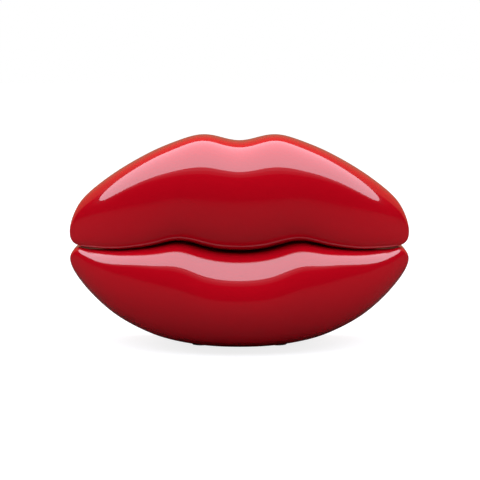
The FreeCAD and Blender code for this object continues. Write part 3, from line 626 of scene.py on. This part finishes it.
lips = {
    "halfWidth": 109.9 * mm,
    "height": 138.1 * mm,
    "mouthHeight": 65.0 * mm,
    "mouthWave": 6.9 * mm,
    "clearance": 0.9 * mm,              # under the lower lip
    "front": -44.0 * mm,
    "back": 44.0 * mm,
    "setBack": 6.0 * mm,                # front of the upper lip, behind that of the lower one
    "cornerY": 8.0 * mm,
    "backRounding": 4.0 * mm,
    "slitGap": 0.2 * mm,                # between the lips in the middle
    "flankGap": 0.8 * mm,               # and towards the corners
    "slitShare": 0.36,
    "lift": 0.2 * mm,                   # rise of the lower lip's top in the middle
    "tuck": 0.8 * mm,                   # and behind the upper lip, between the middle and the corners
    "tuckStart": (.27, .5),
    "tuckEnd": (.73, .91),
    "wall": 2.6 * mm,
    "cornerThinning": 2.5,              # the wall thins out in the corners, later with a larger value
    "coverFront": 41.0 * mm,
    "cornerAngle": 88.5,
    "stations": 41,
    "levels": 3,
    "curveSteps": 25,
    # (share of half the width, share of the way)
    "upperOutline": [(0, .934), (.187, 1), (.35, .944), (.468, .874), (.584, .785), (.702, .679),
                     (.818, .555), (.9, .451), (.947, .367), (.976, .279), (1, .123)],
    # the same without the dip of the bow, which fades out down the front
    "upperArch": [(0, .985), (.187, .975), (.35, .935), (.468, .874), (.584, .785), (.702, .679),
                  (.818, .555), (.9, .451), (.947, .367), (.976, .279), (1, .123)],
    "bowFade": (.6, 1),
    "lowerOutline": [(0, 0), (.187, .011), (.35, .048), (.468, .095), (.584, .172), (.702, .273),
                     (.818, .417), (.9, .551), (.947, .651), (.976, .732), (1, .869)],
    "mouthLine": [(0, 0), (.094, .07), (.187, .33), (.268, .74), (.35, 1), (.41, .84), (.468, .58),
                  (.584, .275), (.702, .03), (.819, -.015), (.91, -.015)],
    "upperCorner": [(.96, .19), (.985, .46), (1, 1.3)],
    "lowerCorner": [(.955, -.03), (.983, -.46), (1, -1.22)],
    "frontPlan": [(0, 0), (.273, .03), (.546, .18), (.728, .38), (.864, .62), (.946, .82), (1, 1)],
    "rearPlan": [(0, 1), (.546, 1), (.819, .925), (.91, .75), (.965, .4), (1, 0)],
    # sections through each lip: (share of its depth from the front, share of its height)
    "upperSection": [(.128, .01), (.35, 0), (.91, 0), (1, .12), (1, .5), (1, .84), (.93, .95), (.7, .99),
                     (.44, 1.01), (.256, 1.01), (.134, .95), (.046, .79), (0, .58), (0, .34), (.035, .12)],
    "upperEnd": [(.1, -.01), (.3, .05), (.91, .06), (1, .12), (1, .5), (1, .84), (.93, .95), (.7, .99),
                 (.44, 1.01), (.23, 1.01), (.105, .95), (.023, .8), (0, .58), (0, .34), (.023, .1)],
    "lowerSection": [(.105, .915), (.042, .785), (0, .61), (.006, .4), (.08, .2), (.23, .06), (.484, -.02),
                     (.92, .06), (1, .2), (1, .5), (1, .9), (.92, 1), (.62, 1), (.30, 1.005), (.185, 1)],
    "lowerEnd": [(.075, .955), (.022, .87), (0, .7), (.004, .44), (.08, .2), (.23, .06), (.484, -.02),
                 (.92, .06), (1, .2), (1, .5), (1, .9), (.92, 1), (.62, 1), (.28, 1.005), (.155, .995)],
    "endBlend": (.18, .68),             # where the middle section turns into the end one
}


def ease(value, start, end):
    share = min(1.0, max(0.0, (value - start) / (end - start)))
    return share * share * (3 - 2 * share)


def smoothLine(points):
    # one smooth curve through the points, the same on both sides, read by angle
    angles = [math.asin(share) for share, value in points]
    values = [value for share, value in points]
    at = numpy.array([-angle for angle in reversed(angles[1:])] + angles)
    value = numpy.array(list(reversed(values[1:])) + values)
    gap = numpy.diff(at)
    rise = numpy.diff(value) / gap
    count = len(at)
    matrix, known = numpy.eye(count), numpy.zeros(count)
    known[0] = rise[0] - gap[0] * (rise[1] - rise[0]) / (gap[0] + gap[1])
    known[-1] = rise[-1] + gap[-1] * (rise[-1] - rise[-2]) / (gap[-1] + gap[-2])
    for row in range(1, count - 1):
        matrix[row, row - 1] = 1 / gap[row - 1]
        matrix[row, row] = 2 / gap[row - 1] + 2 / gap[row]
        matrix[row, row + 1] = 1 / gap[row]
        known[row] = 3 * (rise[row - 1] / gap[row - 1] + rise[row] / gap[row])
    slope = numpy.linalg.solve(matrix, known)

    def read(angle):
        part = min(count - 2, max(0, int(numpy.searchsorted(at, angle)) - 1))
        t = (angle - at[part]) / gap[part]
        start = value[part] * (1 + 2 * t) + slope[part] * gap[part] * t
        end = value[part + 1] * (3 - 2 * t) + slope[part + 1] * gap[part] * (t - 1)
        return start * (1 - t) ** 2 + end * t * t

    return read


def fillBox(points):
    # scales a section's points so that the smoothed outline, not the points, fills 0 to 1
    ring = numpy.array(points)
    before, after = numpy.roll(ring, 1, axis=0), numpy.roll(ring, -1, axis=0)
    further = numpy.roll(ring, -2, axis=0)
    samples = []
    for t in numpy.linspace(0, 1, lips["curveSteps"]):
        samples.append(((1 - t) ** 3 * before + (3 * t ** 3 - 6 * t ** 2 + 4) * ring
                        + (-3 * t ** 3 + 3 * t ** 2 + 3 * t + 1) * after + t ** 3 * further) / 6)
    samples = numpy.concatenate(samples)
    low, high = samples.min(axis=0), samples.max(axis=0)
    return (ring - low) / (high - low)


def lipRings(lip, inset):
    # rings of points from one corner of the mouth to the other
    s = lips

    def waveHeight(height):
        return s["mouthHeight"] + height * s["mouthWave"]

    def gapAt(share):
        return s["slitGap"] if share < s["slitShare"] else s["flankGap"]

    def tucked(share):
        flank = ease(share, *s["tuckStart"])
        return s["tuck"] * (flank - ease(share, *s["tuckEnd"])) + s["lift"] * (1 - flank)

    if lip == "upper":
        front = s["front"] + s["setBack"]
        middle, end = fillBox(s["upperSection"]), fillBox(s["upperEnd"])
        rise = s["height"] - s["mouthHeight"]
        top = [(share, s["mouthHeight"] + height * rise) for share, height in s["upperOutline"]]
        arch = [(share, s["mouthHeight"] + height * rise) for share, height in s["upperArch"]]
        bottom = [(share, waveHeight(height) + gapAt(share) / 2) for share, height in s["mouthLine"]]
        bottom += [(share, waveHeight(height)) for share, height in s["upperCorner"]]
        bottom[-1] = (1, top[-1][1])
    else:
        front = s["front"]
        middle, end = fillBox(s["lowerSection"]), fillBox(s["lowerEnd"])
        rise = s["mouthHeight"] - s["clearance"]
        bottom = [(share, s["clearance"] + height * rise) for share, height in s["lowerOutline"]]
        top = [(share, waveHeight(height) - gapAt(share) / 2 + tucked(share))
               for share, height in s["mouthLine"]]
        top += [(share, waveHeight(height)) for share, height in s["lowerCorner"]]
        top[-1] = (1, bottom[-1][1])
        arch = top
    frontLine = smoothLine([(share, front + way * (s["cornerY"] - front)) for share, way in s["frontPlan"]])
    rear = s["back"] + s["backRounding"]
    rearLine = smoothLine([(share, s["cornerY"] + way * (rear - s["cornerY"]))
                           for share, way in s["rearPlan"]])
    topLine, archLine, bottomLine = smoothLine(top), smoothLine(arch), smoothLine(bottom)
    reach = math.radians(s["cornerAngle"])
    rings = []
    for number in range(s["stations"]):
        angle = reach * (2 * number / (s["stations"] - 1) - 1)
        thinning = math.sin(min(1.0, s["cornerThinning"] * abs(math.cos(angle))) * math.pi / 2)
        draw = inset * thinning
        near, far = frontLine(angle) + draw, rearLine(angle) - draw
        low, high = bottomLine(angle) + draw, topLine(angle) - draw
        bow = topLine(angle) - archLine(angle)
        share = ease(abs(math.sin(angle)), *s["endBlend"])
        section = middle + (end - middle) * share
        x = (s["halfWidth"] - inset) * math.sin(angle)
        rings.append([(x, near + depth * (far - near),
                       low + height * (high - low - bow * (1 - ease(height, *s["bowFade"]))))
                      for depth, height in section])
    return rings


def lipBody(name, lip, inset, levels):
    # a tube along X, cut into rings, each ring set to the lip's section there, then smoothed
    rings = lipRings(lip, inset)
    around = len(rings[0])
    length = 2 * lips["halfWidth"]
    bpy.ops.object.select_all(action="DESELECT")
    bpy.ops.mesh.primitive_cylinder_add(vertices=around, radius=lips["wall"], depth=length,
                                        rotation=(0, math.pi / 2, 0))
    body = bpy.context.object
    body.name = name
    bpy.ops.object.transform_apply(location=True, rotation=True, scale=True)
    pickEdges(body, lambda a, b: abs(a.x - b.x) > length / 2)
    bpy.ops.mesh.subdivide(number_cuts=len(rings) - 2)
    bpy.ops.object.mode_set(mode="OBJECT")
    for vertex in body.data.vertices:
        ring = round((vertex.co.x / length + 0.5) * (len(rings) - 1))
        turn = math.atan2(vertex.co.z, vertex.co.y) / (2 * math.pi)
        vertex.co = rings[ring][round(turn * around) % around]
    smoothed(body, levels)
    return body


recess = {
    "halfLength": 88 * mm,
    "front": -10 * mm,
    "back": 34 * mm,
    "corner": 16 * mm,
    "cornerSteps": 16,
    "plateMargin": -0.65 * mm,          # round the handset's opening, against the base's
    "plateTop": 78 * mm,
    "deckBottom": 57.3 * mm,
    "plinthCorner": 9 * mm,
    "plinthSteps": 12,
    "plinthMargin": 0.15 * mm,
}


def recessTool(margin, z0, z1):
    r = recess
    tool = addBlock("recessTool", -r["halfLength"] - margin, r["halfLength"] + margin,
                    r["front"] - margin, r["back"] + margin, z0, z1)
    roundUpright(tool, r["corner"] + margin, r["cornerSteps"])
    return tool


def plinthTool():
    low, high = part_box("bottom_cover")
    margin = recess["plinthMargin"]
    tool = addBlock("plinthTool", low.x - margin, high.x + margin, low.y - margin, high.y + margin,
                    -lips["wall"], high.z)
    roundUpright(tool, recess["plinthCorner"] + margin, recess["plinthSteps"])
    return tool


def makeShell(lip, body):
    # the front of a lip: hollow, open at the back for its cover, and cut out for the mouth recess
    shell = lipBody(lip + "Lip", lip, 0, lips["levels"])
    cutAcross(shell, lips["coverFront"], True)
    carve(shell, lipBody("hollow", lip, lips["wall"], lips["levels"] - 1))
    if lip == "upper":
        carve(shell, recessTool(recess["plateMargin"], -lips["wall"], recess["plateTop"]))
    else:
        carve(shell, recessTool(0, recess["deckBottom"], lips["height"]))
        carve(shell, plinthTool())
    finishPiece(shell, body, "red_shell")
    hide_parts(lip + "_lip_shell")
    print(shell.name, len(shell.data.polygons), "faces")


makeShell("upper", "handset")
makeShell("lower", "base")

# rear covers

covers = {
    "rim": 0.4 * mm,                    # softness of the edge round the back
    "seam": 0.25 * mm,                  # open line between cover and shell
    "screwRadius": 3.0 * mm,
    "screwDepth": 1.8 * mm,
    "screwSteps": 48,
    "jackWidth": 13.8 * mm,
    "jackHeight": 12.8 * mm,
    "slotLength": 8.5 * mm,
    "slotHeight": 3.5 * mm,
    # (distance from the middle, height), on both sides
    "upperScrews": [(78 * mm, 88 * mm), (30 * mm, 116 * mm)],
    "lowerScrews": [(72 * mm, 39.7 * mm), (46 * mm, 23.4 * mm)],
    "slots": [(50 * mm, 33 * mm)],
}


def addRod(x, z, radius, y0, y1):
    bpy.ops.object.select_all(action="DESELECT")
    bpy.ops.mesh.primitive_cylinder_add(vertices=covers["screwSteps"], radius=radius, depth=y1 - y0,
                                        location=(x, (y0 + y1) / 2, z), rotation=(math.pi / 2, 0, 0))
    rod = bpy.context.object
    bpy.ops.object.transform_apply(location=True, rotation=True, scale=True)
    return rod


def opening(x, z, length, height):
    return addBlock("opening", x - length / 2, x + length / 2, lips["coverFront"] - lips["wall"],
                    lips["back"] + lips["wall"], z - height / 2, z + height / 2)


def makeCover(lip, body, node, screws, jacks, slots):
    cover = lipBody(lip + "RearCover", lip, 0, lips["levels"])
    for vertex in cover.data.vertices:
        # the side rolls over into the flat back
        depth = (lips["back"] - vertex.co.y) / covers["rim"]
        vertex.co.y = lips["back"] - covers["rim"] * math.log1p(math.exp(depth))
    cutAcross(cover, lips["coverFront"] + covers["seam"], False)
    for x, z in screws:
        carve(cover, addRod(x, z, covers["screwRadius"], lips["back"] - covers["screwDepth"],
                            lips["back"] + lips["wall"]))
    for x, z in jacks:
        carve(cover, opening(x, z, covers["jackWidth"], covers["jackHeight"]))
    for x, z in slots:
        carve(cover, opening(x, z, covers["slotLength"], covers["slotHeight"]))
    finishPiece(cover, body, "red_shell")
    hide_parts(node)
    print(cover.name, len(cover.data.polygons), "faces")


def boxMiddle(node):
    low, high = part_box(node)
    return (low + high) / 2


def bothSides(places):
    return [(side * x, z) for x, z in places for side in (-1, 1)]


handsetJack = boxMiddle("handset_jack")
lineJack = boxMiddle("line_jack")
baseJack = boxMiddle("base_handset_jack")
makeCover("upper", "handset", "handset_rear_cover", bothSides(covers["upperScrews"]),
          [(handsetJack.x, handsetJack.z)], [])
makeCover("lower", "base", "base_rear_cover", bothSides(covers["lowerScrews"]),
          [(lineJack.x, lineJack.z), (baseJack.x, baseJack.z)], bothSides(covers["slots"]))

# keys

keys = {
    "width": 10 * mm,
    "sideWidth": 8 * mm,
    "depth": 7.6 * mm,
    "corner": 1.6 * mm,
    "cornerSteps": 5,
    "taper": 0.92,                      # top face against the foot
    "rim": 0.9 * mm,                    # round the dish in the top face
    "dish": 0.25 * mm,
    "edge": 0.25 * mm,
    "edgeSteps": 3,
    "tolerance": 0.01 * mm,
    "foot": 57.5 * mm,
    "textSize": 5.4 * mm,
    "sideTextSize": 4.2 * mm,
    "ink": 0.05 * mm,                   # half the legends' height
    "capAngle": 35,
    "inkAngle": 30,
    "marks": {"star": "*", "hash": "#", "redial": "R", "flash": "F"},
}


def keyCapModel(width, top):
    cap = addBlock("keyCap", -width / 2, width / 2, -keys["depth"] / 2, keys["depth"] / 2, keys["foot"], top)
    roundUpright(cap, keys["corner"], keys["cornerSteps"])
    pickFaces(cap, lambda centre, normal: normal.z > facesUp)
    bpy.ops.transform.resize(value=(keys["taper"], keys["taper"], 1), center_override=(0, 0, top))
    bpy.ops.mesh.inset(thickness=keys["rim"])
    bpy.ops.transform.translate(value=(0, 0, -keys["dish"]))
    bpy.ops.object.mode_set(mode="OBJECT")
    flat = top - keys["tolerance"]
    pickEdges(cap, lambda a, b: a.z > flat and b.z > flat)
    bpy.ops.mesh.bevel(offset=keys["edge"], segments=keys["edgeSteps"])
    bpy.ops.object.mode_set(mode="OBJECT")
    return cap


def addLegend(name, mark, x, y, z, size):
    bpy.ops.object.select_all(action="DESELECT")
    bpy.ops.object.text_add(location=(0, 0, 0))
    legend = bpy.context.object
    legend.data.body = mark
    legend.data.size = size
    legend.data.extrude = keys["ink"]
    legend.data.align_x = "CENTER"
    bpy.ops.object.convert(target="MESH")
    legend = bpy.context.object
    legend.name = "legend_" + name
    corners = [vertex.co.copy() for vertex in legend.data.vertices]
    middleX = (min(c.x for c in corners) + max(c.x for c in corners)) / 2
    middleY = (min(c.y for c in corners) + max(c.y for c in corners)) / 2
    legend.data.transform(Matrix.Translation((x - middleX, y - middleY, z)))
    finishPiece(legend, "key_" + name, "key_plastic", "legendInk", keys["inkAngle"])


def makeKeys():
    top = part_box("key_1")[1].z
    models = {width: keyCapModel(width, top) for width in (keys["width"], keys["sideWidth"])}
    capNodes = sorted(node for node in nodes if node.startswith("key_") and node in frame["bodies"])
    for capNode in capNodes:
        name = capNode.removeprefix("key_")
        low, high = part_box(capNode)
        x, y = (low.x + high.x) / 2, (low.y + high.y) / 2
        side = name in ("redial", "flash")
        model = models[keys["sideWidth"] if side else keys["width"]]
        cap = model.copy()
        cap.data = model.data.copy()
        cap.name = "keyCap_" + name
        bpy.context.scene.collection.objects.link(cap)
        cap.data.transform(Matrix.Translation((x, y, 0)))
        finishPiece(cap, capNode, "key_plastic", angle=keys["capAngle"])
        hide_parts(capNode)
        addLegend(name, keys["marks"].get(name, name), x, y, top - keys["dish"],
                  keys["sideTextSize"] if side else keys["textSize"])
    for model in models.values():
        bpy.data.objects.remove(model)


makeKeys()
print("keys ready")

# spring contacts inside the jacks

contacts = {
    "count": 4,
    "pitch": 1.27 * mm,
    "radius": 0.22 * mm,
    "mouth": 1.6 * mm,                  # from the jack's face to the wires' outer ends
    "root": 11.0 * mm,                  # and to their inner ends
    "top": 4.5 * mm,                    # outer ends above the jack's middle
    "dip": 1.2 * mm,                    # lowest point above the jack's middle
    "nose": (0.8 * mm, 0.6 * mm),       # from the outer end in and down to the first bend
    "heel": (1.5 * mm, 0.8 * mm),       # from the inner end out and down to the last bend
    "roundness": 3,
    "smoothAngle": 60,
}


def makeContacts(name, jack, body):
    c = contacts
    back = lips["back"]
    curve = bpy.data.curves.new(name, "CURVE")
    curve.dimensions = "3D"
    curve.bevel_depth = c["radius"]
    curve.bevel_resolution = c["roundness"]
    curve.use_fill_caps = True
    for number in range(c["count"]):
        x = jack.x + (number - (c["count"] - 1) / 2) * c["pitch"]
        points = [(x, back - c["mouth"], jack.z + c["top"]),
                  (x, back - c["mouth"] - c["nose"][0], jack.z + c["top"] - c["nose"][1]),
                  (x, back - c["root"] + c["heel"][0], jack.z + c["dip"]),
                  (x, back - c["root"], jack.z + c["dip"] + c["heel"][1])]
        spline = curve.splines.new("NURBS")
        spline.points.add(len(points) - 1)
        for point, place in zip(spline.points, points):
            point.co = place + (1,)
        spline.order_u = 3
        spline.use_endpoint_u = True
    wires = bpy.data.objects.new(name, curve)
    bpy.context.scene.collection.objects.link(wires)
    only(wires)
    bpy.ops.object.convert(target="MESH")
    finishPiece(bpy.context.object, body, "spring_steel", "contactGold", c["smoothAngle"])


makeContacts("handsetJackContacts", handsetJack, "handset")
makeContacts("lineJackContacts", lineJack, "base")
makeContacts("baseJackContacts", baseJack, "base")
print("jack contacts ready")
